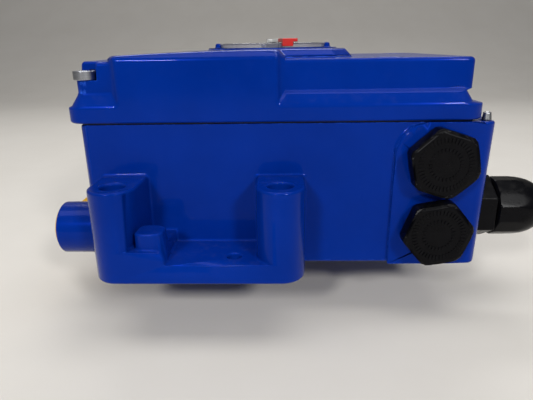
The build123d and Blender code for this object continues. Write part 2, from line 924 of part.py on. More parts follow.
def make_shield():
    left = -board_left - 3
    right = board_right + 3
    depth = board_half_depth + 2
    top = shield_level + shield_thickness
    plate = rounded_block(left, right, -depth, depth, shield_level - shield_rim, top, 3.0)
    plate -= rounded_block(
        left + shield_thickness, right - shield_thickness, -depth + shield_thickness,
        depth - shield_thickness, shield_level - shield_rim, shield_level, 1.5,
    )
    terminal_half = terminal_poles * terminal_pitch / 2 + 2
    notch = board_right - terminal_depth - 3
    plate -= block(notch, right, -terminal_half, terminal_half, shield_level - shield_rim, top)
    for x, y in standoff_spots():
        plate += rod(x, y, board_top, shield_level, shield_post_radius)
    for x, y in standoff_spots():
        plate -= rod(x, y, board_top, top, small_screw_radius)
    plate -= rod(0, 0, shield_level, top, shield_hole_radius)
    for x, y in button_spots():
        plate -= rod(x, y, shield_level, top, button_radius + button_clearance)
    x, y = display_place()
    inset = display_frame + 0.5
    plate -= block(
        x + inset, x + display_width - inset, y + inset, y + display_depth - inset, shield_level, top
    )
    return plate


# Pilot valve block with spool, flapper, nozzle and coil
def make_valve_block():
    body = block(
        valve_block_left, valve_block_right, -valve_block_depth, valve_block_depth,
        floor_thickness, block_level,
    )
    body -= rod_y(valve_x, -valve_block_depth, valve_block_depth, valve_height, sleeve_radius)
    for side in (-1, 1):
        inner = side * (valve_block_depth - end_cap_thickness)
        outer = side * valve_block_depth
        body -= rod_y(valve_x, min(inner, outer), max(inner, outer), valve_height, end_cap_radius)
    for y in port_y:
        body -= rod_x(valve_block_left, valve_block_left + port_passage_depth, y, port_height, port_passage)
    for x, y in block_screw_spots():
        body -= rod(x, y, floor_thickness, block_level, block_screw_radius)
    body -= rod(valve_x, nozzle_y, valve_height, block_level, nozzle_radius)
    return body


def make_block_gasket():
    plate = block(
        port_face, valve_block_left, -valve_block_depth, valve_block_depth, floor_thickness, port_wall_height
    )
    for y in port_y:
        plate -= rod_x(port_face, valve_block_left, y, port_height, port_passage)
    return plate


def make_block_screws():
    reach = block_height + floor_thickness - 2
    return Compound(children=[
        pan_screw(x, y, block_level, reach, block_screw_radius, block_head_radius, block_head_height)
        for x, y in block_screw_spots()
    ])


def make_sleeve():
    half = sleeve_length / 2
    sleeve = rod_y(valve_x, -half, half, valve_height, sleeve_radius)
    sleeve -= rod_y(valve_x, -half, half, valve_height, spool_radius + running_clearance)
    for i in (-1, 0, 1):
        y = i * sleeve_groove_share * sleeve_length - sleeve_groove / 2
        groove = rod_y(valve_x, y, y + sleeve_groove, valve_height, sleeve_radius)
        sleeve -= groove - rod_y(valve_x, y, y + sleeve_groove, valve_height, sleeve_radius - sleeve_groove_depth)
    return sleeve


def make_spool():
    half = spool_length / 2
    spool = rod_y(valve_x, -half, half, valve_height, spool_groove)
    for y in (-half, -land_length / 2, half - land_length):
        spool += rod_y(valve_x, y, y + land_length, valve_height, spool_radius)
    return spool


def make_end_caps():
    caps = []
    for side in (-1, 1):
        outer = side * valve_block_depth
        face = side * (valve_block_depth - end_cap_thickness)
        stop = side * (spool_length / 2 + spool_travel + 0.2)
        cap = rod_y(valve_x, min(outer, face), max(outer, face), valve_height, end_cap_radius)
        cap += rod_y(valve_x, min(stop, face), max(stop, face), valve_height, spool_radius)
        caps.append(cap)
    return Compound(children=caps)


def coil_level():
    return block_level + yoke_thickness


def make_yoke():
    base = block_level
    x0 = valve_x - yoke_width / 2
    x1 = valve_x + yoke_width / 2
    back = coil_y + coil_radius + 1
    pivot_z = pivot_level()
    yoke = block(x0, x1, coil_y - coil_radius, back + yoke_thickness, base, base + yoke_thickness)
    yoke += block(x0, x1, back, back + yoke_thickness, base, pivot_z + 3)
    yoke -= rod(valve_x, coil_y, base, base + yoke_thickness, core_radius)
    ears = block(x0 - 1, x0 + 1, back - 6, back + yoke_thickness, pivot_z - ear_drop, pivot_z + 3)
    ears += block(x1 - 1, x1 + 1, back - 6, back + yoke_thickness, pivot_z - ear_drop, pivot_z + 3)
    ears -= rod_x(x0 - 1, x1 + 1, pivot_y(), pivot_z, pivot_radius + running_clearance)
    return yoke + ears


def pivot_level():
    return coil_level() + coil_height + flapper_gap + flapper_thickness / 2


def pivot_y():
    return coil_y + coil_radius - 1


def make_coil():
    low = coil_level()
    return rod(valve_x, coil_y, low, low + coil_height - 0.6, coil_radius) - rod(
        valve_x, coil_y, low, low + coil_height, core_radius
    )


def make_core():
    return rod(valve_x, coil_y, block_level, coil_level() + coil_height, core_radius)


def make_nozzle():
    tip = pivot_level() - flapper_thickness / 2 - flapper_gap
    stem = rod(valve_x, nozzle_y, valve_height + sleeve_radius + 1, tip - 2, nozzle_radius)
    cone = Pos(valve_x, nozzle_y, tip - 1) * Cone(nozzle_radius, 1.0, 2.0)
    return stem + cone - rod(valve_x, nozzle_y, valve_height + sleeve_radius + 1, tip, 0.5)


def make_flapper():
    z = pivot_level()
    half = flapper_thickness / 2
    end = pivot_y()
    strip = block(
        valve_x - flapper_width / 2, valve_x + flapper_width / 2, end - flapper_length, end, z - half, z + half
    )
    reach = yoke_width / 2 + 1
    return strip + rod_x(valve_x - reach, valve_x + reach, end, z, pivot_radius)


# Air port caps and exhaust vent
def make_supply_cap():
    face = wall_left - port_boss_length
    cap = rod_x(face - cap_flange, face, port_y[0], port_height, cap_flange_radius)
    return cap + rod_x(face, face + cap_body_depth, port_y[0], port_height, port_radius - port_clearance)


def make_port_caps():
    caps = []
    for y in port_y[1:3]:
        cap = rod_x(wall_left - cone_straight, wall_left, y, port_height, cone_base_radius)
        length = cone_length - cone_straight
        nose = Rot(0, -90, 0) * Cone(cone_base_radius, cone_nose_radius, length)
        cap += Pos(wall_left - cone_straight - length / 2, y, port_height) * nose
        cap += rod_x(wall_left, wall_left + cap_body_depth, y, port_height, port_radius - port_clearance)
        caps.append(cap)
    return Compound(children=caps)


def make_vent():
    y = port_y[3]
    vent = rod_x(wall_left - vent_length, wall_left, y, port_height, vent_radius)
    vent -= rod_x(wall_left - vent_length, wall_left - 2, y, port_height, vent_core_radius)
    vent += rod_x(wall_left, wall_left + cap_body_depth, y, port_height, port_radius - port_clearance)
    for i in range(vent_slots):
        slot = block(wall_left - 7, wall_left - 4, -vent_radius - 1, vent_radius + 1, -1, 1)
        turned = Rot(180 * i / vent_slots, 0, 0) * slot
        vent -= Pos(0, y, port_height) * turned
    return vent


def make_vent_core():
    y = port_y[3]
    return rod_x(wall_left - vent_length + 1.5, wall_left - 2, y, port_height, vent_core_radius - 0.6)


# Entry plugs and cable gland, made on +Z and turned into place
def plug_solid():
    head = extrude(Pos(0, 0, washer_thickness) * hexagon(hex_flats), amount=plug_head)
    dome = Pos(0, 0, washer_thickness) * Cylinder(
        hex_flats / math.sqrt(3) - plug_chamfer / 2, plug_head, align=(Align.CENTER, Align.CENTER, Align.MIN)
    )
    head &= chamfer(dome.edges().sort_by(Axis.Z)[-1], plug_chamfer)
    stem = rod(0, 0, -plug_thread_length, washer_thickness, entry_thread / 2 - entry_clearance)
    return head + stem - rod(0, 0, -plug_thread_length, washer_thickness + plug_head / 2, plug_hollow_radius)


def washer_solid():
    return ring(0, washer_thickness, entry_thread / 2 - entry_clearance, washer_radius)


def front_place(level):
    return Pos(entry_x, wall_front - entry_pad, level) * Rot(90, 0, 0)


def side_place(y, level):
    return Pos(right_reach, y, level) * Rot(0, 90, 0)


def make_washers():
    places = [front_place(level) for level in entry_levels]
    places.append(side_place(side_entry_y, side_entry_height))
    return Compound(children=[place * washer_solid() for place in places])


def gland_place():
    return side_place(gland_y, entry_low)


def make_gland_body():
    base = washer_thickness
    body = extrude(Pos(0, 0, base) * Rot(0, 0, 90) * hexagon(hex_flats), amount=gland_hex_length)
    neck_top = base + gland_hex_length + gland_neck_length
    body += rod(0, 0, -plug_thread_length, base, entry_thread / 2 - entry_clearance)
    body += rod(0, 0, base + gland_hex_length, neck_top, gland_neck_radius)
    return gland_place() * (body - rod(0, 0, -plug_thread_length, neck_top, gland_bore_radius))


def gland_nut_base():
    return washer_thickness + gland_hex_length + gland_nut_gap


def make_gland_nut():
    base = gland_nut_base()
    top = base + gland_nut_length
    prism = extrude(
        Pos(0, 0, base) * RegularPolygon(gland_nut_radius + 0.4, gland_nut_sides), amount=gland_nut_length
    )
    skin = rod(0, 0, base, top, gland_nut_radius + 0.2)
    dome = fillet(skin.edges().sort_by(Axis.Z)[-1], min(gland_dome, gland_nut_radius - gland_exit_radius))
    nut = prism & dome
    inside = rod(0, 0, base, base + gland_neck_length, gland_neck_radius + gland_clearance)
    inside += rod(0, 0, base + gland_neck_length, top - gland_lip, gland_bore_radius + 0.6)
    return gland_place() * (nut - inside - rod(0, 0, base, top, gland_exit_radius))


def make_gland_seal():
    top = gland_nut_base() + gland_nut_length - gland_lip
    seal = rod(0, 0, top - gland_seal_length, top, gland_bore_radius - gland_clearance)
    return gland_place() * (seal - rod(0, 0, top - gland_seal_length, top, gland_seal_bore))


def make_gland_washer():
    return gland_place() * washer_solid()


seal_low = -spigot_height + 0.5
upper_seal_low = pad_top - 1 - upper_seal_thickness

pieces = {
    "housing": make_housing(),
    "cover": make_cover(),
    "cover_gasket": make_gasket(),
    "cover_screws": make_cover_screws(),
    "lock_screw": make_lock_screw(),
    "indicator_window": make_window(),
    "pointer": make_pointer(),
    "pointer_screw": make_pointer_screw(),
    "feedback_shaft": make_shaft(),
    "shaft_clip": make_shaft_clip(),
    "lower_bush": make_lower_bush(),
    "upper_bush": make_upper_bush(),
    "shaft_seal": ring(seal_low, seal_low + seal_thickness, shaft_radius + running_clearance, seal_radius - 0.1),
    "spindle_seal": ring(
        upper_seal_low, upper_seal_low + upper_seal_thickness, spindle_radius + running_clearance,
        upper_bush_radius,
    ),
    "main_gear": make_main_gear(),
    "gear_screw": make_gear_screw(),
    "pot_pinion": make_pinion(),
    "potentiometer": make_potentiometer(),
    "pot_bracket": make_pot_bracket(),
    "bracket_screws": make_bracket_screws(),
    "circuit_board": make_board(),
    "board_standoffs": make_standoffs(),
    "board_screws": make_board_screws(),
    "display_case": make_display(),
    "display_glass": make_display_glass(),
    "terminal_block": make_terminal_block(),
    "terminal_screws": make_terminal_screws(),
    "button_switches": make_switches(),
    "electronics_shield": make_shield(),
    "valve_block": make_valve_block(),
    "block_gasket": make_block_gasket(),
    "block_screws": make_block_screws(),
    "spool_sleeve": make_sleeve(),
    "spool": make_spool(),
    "spool_end_caps": make_end_caps(),
    "coil_yoke": make_yoke(),
    "coil": make_coil(),
    "coil_core": make_core(),
    "nozzle": make_nozzle(),
    "flapper": make_flapper(),
    "supply_cap": make_supply_cap(),
    "port_caps": make_port_caps(),
    "exhaust_vent": make_vent(),
    "vent_core": make_vent_core(),
    "entry_plug_lower": front_place(entry_levels[0]) * Rot(0, 0, plug_turns[0]) * plug_solid(),
    "entry_plug_upper": front_place(entry_levels[1]) * Rot(0, 0, plug_turns[1]) * plug_solid(),
    "entry_plug_side": side_place(side_entry_y, side_entry_height) * plug_solid(),
    "plug_washers": make_washers(),
    "gland_body": make_gland_body(),
    "gland_nut": make_gland_nut(),
    "gland_seal": make_gland_seal(),
    "gland_washer": make_gland_washer(),
}
for number, (x, y) in enumerate(button_spots(), start=1):
    pieces[f"push_button_{number}"] = make_button(x, y)

for name, piece in pieces.items():
    export_step(piece, f"parts/{name}.step")
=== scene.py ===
import json
import math
import bmesh
import bpy
from mathutils import Matrix, Vector
from mathutils.bvhtree import BVHTree
from mathutils.geometry import intersect_point_line

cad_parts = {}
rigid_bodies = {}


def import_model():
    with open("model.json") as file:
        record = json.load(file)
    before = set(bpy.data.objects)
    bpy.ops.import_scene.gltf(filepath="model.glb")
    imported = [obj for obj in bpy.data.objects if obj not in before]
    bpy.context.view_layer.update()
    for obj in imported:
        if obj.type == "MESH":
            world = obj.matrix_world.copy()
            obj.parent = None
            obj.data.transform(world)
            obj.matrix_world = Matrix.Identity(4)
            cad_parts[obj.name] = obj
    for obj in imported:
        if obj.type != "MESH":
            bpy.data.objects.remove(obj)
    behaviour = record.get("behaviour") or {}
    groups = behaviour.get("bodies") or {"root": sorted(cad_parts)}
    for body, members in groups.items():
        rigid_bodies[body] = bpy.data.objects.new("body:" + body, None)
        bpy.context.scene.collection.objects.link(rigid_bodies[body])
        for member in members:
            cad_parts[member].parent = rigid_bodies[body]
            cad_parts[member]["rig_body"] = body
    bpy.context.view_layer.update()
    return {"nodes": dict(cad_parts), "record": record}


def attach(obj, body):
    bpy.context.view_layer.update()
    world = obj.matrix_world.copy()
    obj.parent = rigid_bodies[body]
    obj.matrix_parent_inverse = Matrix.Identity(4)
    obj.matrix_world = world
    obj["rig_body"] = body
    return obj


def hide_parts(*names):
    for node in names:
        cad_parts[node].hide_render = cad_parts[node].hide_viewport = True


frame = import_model()
nodes = frame["nodes"]
slotOf = {part["node"]: part["material_slot"] for part in frame["record"]["subparts"]}

studio = {
    "floorLevel": -0.0245,  # just under the feedback shaft's end
    "floorColour": "C9C4BC",
    "cloudColour": "D2CEC7",
    "floorFront": -2.5,
    "floorBack": 0.75,
    "sweepRadius": 0.7,
    "sweepSteps": 16,
    "sweepTop": 2.0,
    "halfWidth": 3.0,
    "floorRoughness": 0.75,
    "cloudScale": 14.0,
    "worldColour": (0.9, 0.93, 1.0, 1.0),
    "worldStrength": 0.18,
    "cameraPlace": (0.0031, -0.2199, 0.085),
    "cameraPitch": 18.4,  # degrees below the horizon
    "cameraYaw": 1.79,  # towards -X
    "cameraRoll": 0.88,
    "cameraLens": 31.27,
    "cameraSensor": 36.0,
    "cameraNear": 0.01,
}

# places in metres, power in watts, sizes along both sides of the lamp
lamps = {
    "overheadLamp": {"place": (0.0, -0.15, 1.1), "target": (0, 0, 0.04), "power": 6.4, "size": (1.4, 0.5)},
    "leftLamp": {"place": (-0.32, -0.82, 0.52), "target": (0, 0, 0.04), "power": 4.6, "size": (0.12, 0.12)},
    "rightLamp": {"place": (0.44, -0.82, 0.52), "target": (0, 0, 0.04), "power": 5.2, "size": (0.12, 0.12)},
    "backLamp": {"place": (0.0, 0.55, 0.7), "target": (0, 0, 0.05), "power": 3.2, "size": (0.9, 0.12)},
}


# small helpers

def linear(hexText):
    values = [int(hexText[i:i + 2], 16) / 255 for i in (0, 2, 4)]
    return tuple(v / 12.92 if v <= 0.04045 else ((v + 0.055) / 1.055) ** 2.4 for v in values) + (1.0,)


def addNode(tree, kind, inputs=None, **properties):
    node = tree.nodes.new(kind)
    for key, value in properties.items():
        setattr(node, key, value)
    for key, value in (inputs or {}).items():
        if isinstance(value, bpy.types.NodeSocket):
            tree.links.new(value, node.inputs[key])
        else:
            node.inputs[key].default_value = value
    return node


def newGroup(name, kind, inputs, outputs):
    tree = bpy.data.node_groups.new(name, kind)
    for label, socketType, value in inputs:
        socket = tree.interface.new_socket(label, in_out="INPUT", socket_type=socketType)
        if value is not None:
            socket.default_value = value
    for label, socketType in outputs:
        tree.interface.new_socket(label, in_out="OUTPUT", socket_type=socketType)
    return tree, tree.nodes.new("NodeGroupInput"), tree.nodes.new("NodeGroupOutput")


def noise(tree, place, scale, detail, roughness):
    node = addNode(tree, "ShaderNodeTexNoise", {
        "Vector": place, "Scale": scale, "Detail": detail, "Roughness": roughness})
    return node.outputs["Fac"]


def remap(tree, value, low, high, lowTo=0.0, highTo=1.0):
    node = addNode(tree, "ShaderNodeMapRange", {
        "Value": value, "From Min": low, "From Max": high, "To Min": lowTo, "To Max": highTo})
    return node.outputs["Result"]


def blend(tree, factor, first, second):
    mix = addNode(tree, "ShaderNodeMix", {"Factor": factor, "A": first, "B": second}, data_type="RGBA")
    return mix.outputs["Result"]


# product of two masks, times an amount and kept under one
def maskProduct(tree, first, second, amount):
    both = addNode(tree, "ShaderNodeMath", {0: first, 1: second}, operation="MULTIPLY")
    scaled = addNode(tree, "ShaderNodeMath", {0: both.outputs[0], 1: amount},
                     operation="MULTIPLY", use_clamp=True)
    return scaled.outputs[0]


# shader groups that several finishes share

def makeGrainGroup():
    tree, start, end = newGroup("surfaceGrain", "ShaderNodeTree", [
        ("Vector", "NodeSocketVector", None),
        ("Scale", "NodeSocketFloat", 800.0),
        ("Patch scale", "NodeSocketFloat", 30.0),
    ], [("Height", "NodeSocketFloat"), ("Variation", "NodeSocketFloat")])
    place = start.outputs["Vector"]
    fine = noise(tree, place, start.outputs["Scale"], 3.0, 0.55)
    broad = noise(tree, place, start.outputs["Patch scale"], 4.0, 0.6)
    tree.links.new(fine, end.inputs["Height"])
    tree.links.new(remap(tree, broad, 0.3, 0.7), end.inputs["Variation"])
    return tree


# edges are found by comparing the softened normal with the true one, and broken up by noise; the lighter
# colour laid there is rubbed wear and also a painted highlight along the edges
def makeEdgeWearAndHighlightGroup():
    tree, start, end = newGroup("edgeWearAndHighlight", "ShaderNodeTree", [
        ("Vector", "NodeSocketVector", None),
        ("Radius", "NodeSocketFloat", 0.0006),
        ("Amount", "NodeSocketFloat", 0.5),
        ("Breakup scale", "NodeSocketFloat", 400.0),
    ], [("Mask", "NodeSocketFloat")])
    softened = addNode(tree, "ShaderNodeBevel", {"Radius": start.outputs["Radius"]}, samples=4)
    shape = addNode(tree, "ShaderNodeNewGeometry")
    facing = addNode(tree, "ShaderNodeVectorMath", {
        0: softened.outputs["Normal"], 1: shape.outputs["Normal"],
    }, operation="DOT_PRODUCT")
    bend = remap(tree, facing.outputs["Value"], 0.99, 0.86)
    broken = noise(tree, start.outputs["Vector"], start.outputs["Breakup scale"], 5.0, 0.7)
    mask = maskProduct(tree, bend, remap(tree, broken, 0.45, 0.62), start.outputs["Amount"])
    tree.links.new(mask, end.inputs["Mask"])
    return tree


# specks, thicker on what faces up
def makeDustGroup():
    tree, start, end = newGroup("restingDust", "ShaderNodeTree", [
        ("Vector", "NodeSocketVector", None),
        ("Amount", "NodeSocketFloat", 0.1),
        ("Scale", "NodeSocketFloat", 260.0),
    ], [("Mask", "NodeSocketFloat")])
    shape = addNode(tree, "ShaderNodeNewGeometry")
    parts = addNode(tree, "ShaderNodeSeparateXYZ", {0: shape.outputs["Normal"]})
    upward = remap(tree, parts.outputs["Z"], 0.2, 1.0, 0.15)
    specks = noise(tree, start.outputs["Vector"], start.outputs["Scale"], 6.0, 0.75)
    mask = maskProduct(tree, upward, remap(tree, specks, 0.5, 0.72), start.outputs["Amount"])
    tree.links.new(mask, end.inputs["Mask"])
    return tree


grainGroup = makeGrainGroup()
edgeWearAndHighlightGroup = makeEdgeWearAndHighlightGroup()
dustGroup = makeDustGroup()

# one entry per finish: colours as hex, grain and patches per metre, depth in metres; the edge colour and its
# amount paint rubbed wear and also a highlight along the edges
finishes = {
    "blue_paint": {
        "colour": "01277F", "shade": "002273", "edge": "2E60D8", "edgeWearAndHighlightAmount": 0.6,
        "roughness": 0.24, "spread": 0.06, "coat": 0.08, "specular": 0.24, "tint": "1048FF",
        "grain": 620, "patch": 24, "depth": 0.000012, "dust": 0.02,
    },
    "black_rubber": {
        "colour": "0C0C0E", "shade": "16161A", "edge": "2A2A2E", "edgeWearAndHighlightAmount": 0.3,
        "roughness": 0.62, "spread": 0.1, "grain": 2400, "patch": 90, "depth": 0.00003, "dust": 0.12,
    },
    "grey_fibre": {
        "colour": "A5A5A0", "shade": "8E8E88", "edge": "C4C4BE", "edgeWearAndHighlightAmount": 0.3,
        "roughness": 0.7, "spread": 0.1, "grain": 2600, "patch": 300, "depth": 0.00004, "dust": 0.1,
    },
    "stainless_steel": {
        "colour": "A9ABB0", "shade": "8C8E94", "edge": "D6D8DC", "edgeWearAndHighlightAmount": 0.5,
        "roughness": 0.32, "spread": 0.12, "metallic": 1.0, "grain": 900, "patch": 160,
        "stretch": (1, 1, 14), "depth": 0.00001, "dust": 0.05,
    },
    "plated_steel": {
        "colour": "A2A3A6", "shade": "7D7F80", "edge": "CFD0D2", "edgeWearAndHighlightAmount": 0.5,
        "roughness": 0.36, "spread": 0.14, "metallic": 1.0, "grain": 1400, "patch": 220,
        "depth": 0.000014, "dust": 0.06,
    },
    "brass": {
        "colour": "C29A4E", "shade": "9C7A3A", "edge": "E2C27C", "edgeWearAndHighlightAmount": 0.4,
        "roughness": 0.3, "spread": 0.1, "metallic": 1.0, "grain": 1200, "patch": 140,
        "stretch": (1, 1, 10), "depth": 0.00001, "dust": 0.04,
    },
    "aluminium": {
        "colour": "B8BABC", "shade": "A2A4A6", "edge": "DADCDE", "edgeWearAndHighlightAmount": 0.4,
        "roughness": 0.38, "spread": 0.1, "metallic": 1.0, "grain": 1100, "patch": 120,
        "stretch": (14, 1, 1), "depth": 0.00001, "dust": 0.04,
    },
    "white_nylon": {
        "colour": "DAD8CE", "shade": "CCC9BC", "edge": "ECEAE4", "edgeWearAndHighlightAmount": 0.2,
        "roughness": 0.42, "spread": 0.08, "grain": 1500, "patch": 90, "depth": 0.000015, "dust": 0.05,
    },
    "black_nylon": {
        "colour": "030305", "shade": "050508", "edge": "1E1E24", "edgeWearAndHighlightAmount": 0.3,
        "roughness": 0.3, "spread": 0.12, "specular": 0.08, "grain": 1700, "patch": 130,
        "depth": 0.000016, "dust": 0.02,
    },
    "dark_plastic": {
        "colour": "191A1D", "shade": "232428", "edge": "3C3D42", "edgeWearAndHighlightAmount": 0.3,
        "roughness": 0.45, "spread": 0.1, "grain": 1900, "patch": 120, "depth": 0.00002, "dust": 0.08,
    },
    "clear_plastic": {
        "colour": "E4E4EC", "shade": "D6D6E2", "edge": "F4F4FA", "edgeWearAndHighlightAmount": 0.3,
        "roughness": 0.08, "spread": 0.05, "transmission": 0.85, "grain": 700, "patch": 60,
        "depth": 0.000004, "dust": 0.04,
    },
    "display_glass": {
        "colour": "6D775C", "shade": "626C52", "edge": "8C967A", "edgeWearAndHighlightAmount": 0.2,
        "roughness": 0.12, "spread": 0.04, "grain": 700, "patch": 60, "depth": 0.000003, "dust": 0.02,
    },
    "red_plastic": {
        "colour": "C41D16", "shade": "AE140F", "edge": "DC4A40", "edgeWearAndHighlightAmount": 0.25,
        "roughness": 0.3, "spread": 0.08, "grain": 1300, "patch": 110, "depth": 0.00001, "dust": 0.05,
    },
    "yellow_plastic": {
        "colour": "D9A514", "shade": "C4920C", "edge": "EBC658", "edgeWearAndHighlightAmount": 0.25,
        "roughness": 0.48, "spread": 0.1, "grain": 1500, "patch": 90, "depth": 0.000018, "dust": 0.12,
    },
    "green_plastic": {
        "colour": "2C7A48", "shade": "24693D", "edge": "4A9666", "edgeWearAndHighlightAmount": 0.25,
        "roughness": 0.45, "spread": 0.08, "grain": 1600, "patch": 110, "depth": 0.000014, "dust": 0.05,
    },
    "button_plastic": {
        "colour": "86888C", "shade": "7A7C80", "edge": "A4A6AA", "edgeWearAndHighlightAmount": 0.25,
        "roughness": 0.5, "spread": 0.08, "grain": 2000, "patch": 140, "depth": 0.000016, "dust": 0.05,
    },
    "board_laminate": {
        "colour": "0B5A32", "shade": "084A28", "edge": "2C7A50", "edgeWearAndHighlightAmount": 0.2,
        "roughness": 0.28, "spread": 0.08, "grain": 1400, "patch": 260, "depth": 0.000008, "dust": 0.04,
    },
    "copper_winding": {
        "colour": "A3522A", "shade": "8A3F1E", "edge": "C87850", "edgeWearAndHighlightAmount": 0.3,
        "roughness": 0.34, "spread": 0.08, "metallic": 0.8, "grain": 600, "patch": 120,
        "stretch": (1, 1, 9), "depth": 0.00006, "dust": 0.03,
    },
}
shared = {"dustColour": "B4AEA4", "dustDulls": 0.5, "coatRoughness": 0.06, "specular": 0.5, "tint": "FFFFFF"}


def makeFinish(name, look):
    material = bpy.data.materials.new(name)
    material.use_nodes = True
    tree = material.node_tree
    shader = tree.nodes["Principled BSDF"]
    place = addNode(tree, "ShaderNodeTexCoord").outputs["Object"]
    if "stretch" in look:
        stretched = addNode(tree, "ShaderNodeMapping", {"Vector": place, "Scale": look["stretch"]})
        place = stretched.outputs[0]
    grain = addNode(tree, "ShaderNodeGroup", node_tree=grainGroup)
    edges = addNode(tree, "ShaderNodeGroup", node_tree=edgeWearAndHighlightGroup)
    dust = addNode(tree, "ShaderNodeGroup", node_tree=dustGroup)
    for group in (grain, edges, dust):
        tree.links.new(place, group.inputs["Vector"])
    grain.inputs["Scale"].default_value = look["grain"]
    grain.inputs["Patch scale"].default_value = look["patch"]
    edges.inputs["Amount"].default_value = look["edgeWearAndHighlightAmount"]
    dust.inputs["Amount"].default_value = look["dust"]
    tone = blend(tree, grain.outputs["Variation"], linear(look["colour"]), linear(look["shade"]))
    # lighter edges: rubbed wear together with a painted highlight
    wornAndHighlighted = blend(tree, edges.outputs["Mask"], tone, linear(look["edge"]))
    dusty = blend(tree, dust.outputs["Mask"], wornAndHighlighted, linear(shared["dustColour"]))
    gloss = addNode(tree, "ShaderNodeMapRange", {
        "Value": grain.outputs["Variation"], "To Min": look["roughness"] - look["spread"] / 2,
        "To Max": look["roughness"] + look["spread"] / 2})
    dull = addNode(tree, "ShaderNodeMath", {
        0: dust.outputs["Mask"], 1: shared["dustDulls"], 2: gloss.outputs["Result"],
    }, operation="MULTIPLY_ADD")
    bump = addNode(tree, "ShaderNodeBump", {
        "Height": grain.outputs["Height"], "Distance": look["depth"], "Strength": 1.0})
    tree.links.new(dusty, shader.inputs["Base Color"])
    tree.links.new(dull.outputs[0], shader.inputs["Roughness"])
    tree.links.new(bump.outputs["Normal"], shader.inputs["Normal"])
    shader.inputs["Metallic"].default_value = look.get("metallic", 0.0)
    shader.inputs["Coat Weight"].default_value = look.get("coat", 0.0)
    shader.inputs["Specular IOR Level"].default_value = look.get("specular", shared["specular"])
    shader.inputs["Coat Roughness"].default_value = shared["coatRoughness"]
    shader.inputs["Specular Tint"].default_value = linear(look.get("tint", shared["tint"]))
    shader.inputs["Transmission Weight"].default_value = look.get("transmission", 0.0)
    return material


finishOf = {name: makeFinish(name, look) for name, look in finishes.items()}
for nodeName, node in nodes.items():
    node.data.materials.clear()
    node.data.materials.append(finishOf[slotOf[nodeName]])
print("finishes:", len(finishOf))


# castings and mouldings: merged copies of the solids with rounded edges

def addObject(name, mesh, body, slot):
    piece = bpy.data.objects.new(name, mesh)
    bpy.context.scene.collection.objects.link(piece)
    if not mesh.materials:
        mesh.materials.append(finishOf[slot])
    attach(piece, body)
    return piece


def bodyOf(nodeName):
    return nodes[nodeName]["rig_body"]


rounding = {
    "housing": {"piece": "housingCasting", "width": 0.0009, "segments": 3},
    "cover": {"piece": "coverCasting", "width": 0.0009, "segments": 3},
    "cover_screws": {"piece": "coverScrews", "width": 0.0003, "segments": 2},
    "lock_screw": {"piece": "lockScrew", "width": 0.0002, "segments": 2},
    "indicator_window": {"piece": "windowDisc", "width": 0.0002, "segments": 2},
    "pointer": {"piece": "redPointer", "width": 0.0002, "segments": 2},
    "pointer_screw": {"piece": "pointerScrew", "width": 0.0002, "segments": 2},
    "entry_plug_lower": {"piece": "plugLower", "width": 0.0005, "segments": 3},
    "entry_plug_upper": {"piece": "plugUpper", "width": 0.0005, "segments": 3},
    "entry_plug_side": {"piece": "plugSide", "width": 0.0005, "segments": 3},
    "gland_body": {"piece": "glandBody", "width": 0.0005, "segments": 3},
    "gland_seal": {"piece": "glandSeal", "width": 0.0003, "segments": 2},
    "supply_cap": {"piece": "supplyCap", "width": 0.0003, "segments": 2},
    "port_caps": {"piece": "portCaps", "width": 0.0004, "segments": 2},
    "exhaust_vent": {"piece": "exhaustVent", "width": 0.0003, "segments": 2},
    "feedback_shaft": {"piece": "feedbackShaft", "width": 0.0003, "segments": 2},
    "shaft_clip": {"piece": "shaftClip", "width": 0.0001, "segments": 2},
    "cover_gasket": {"piece": "coverGasket", "width": 0.0002, "segments": 2},
    "plug_washers": {"piece": "plugWashers", "width": 0.0002, "segments": 2},
}

# angles in degrees, lengths in metres, flatFrom in square metres,
# and strayShare and reach in widths of the round
rules = {
    "sharpAngle": 30,
    "smoothAngle": 38,
    "flatAngle": 0.5,
    "mergeWithin": 2e-6,
    "shortest": 1e-5,
    "strayShare": 0.45,
    "reach": 1.4,
    "tries": 8,
    "flatFrom": 1e-3,
    "quad": 4,
    "normalWeight": 100,
}


def cleanedShape(mesh):
    shape = bmesh.new()
    shape.from_mesh(mesh)
    bmesh.ops.remove_doubles(shape, verts=shape.verts, dist=rules["mergeWithin"])
    bmesh.ops.dissolve_limit(
        shape, angle_limit=math.radians(rules["flatAngle"]), verts=shape.verts, edges=shape.edges)
    bmesh.ops.dissolve_degenerate(shape, dist=rules["shortest"], edges=shape.edges)
    shape.edges.ensure_lookup_table()
    return shape


def bevelled(shape, chosen, look):
    trial = shape.copy()
    trial.edges.ensure_lookup_table()
    bmesh.ops.bevel(
        trial, geom=[trial.edges[i] for i in chosen], offset=look["width"], offset_type="OFFSET",
        segments=look["segments"], profile=0.5, affect="EDGES", clamp_overlap=False, material=-1,
        loop_slide=True, miter_outer="ARC", miter_inner="SHARP", spread=look["width"],
        face_strength_mode="ALL")
    trial.verts.ensure_lookup_table()
    return trial


def nearEdge(point, ends, reach):
    share = min(1.0, max(0.0, intersect_point_line(point, *ends)[1]))
    return (ends[0].lerp(ends[1], share) - point).length < reach


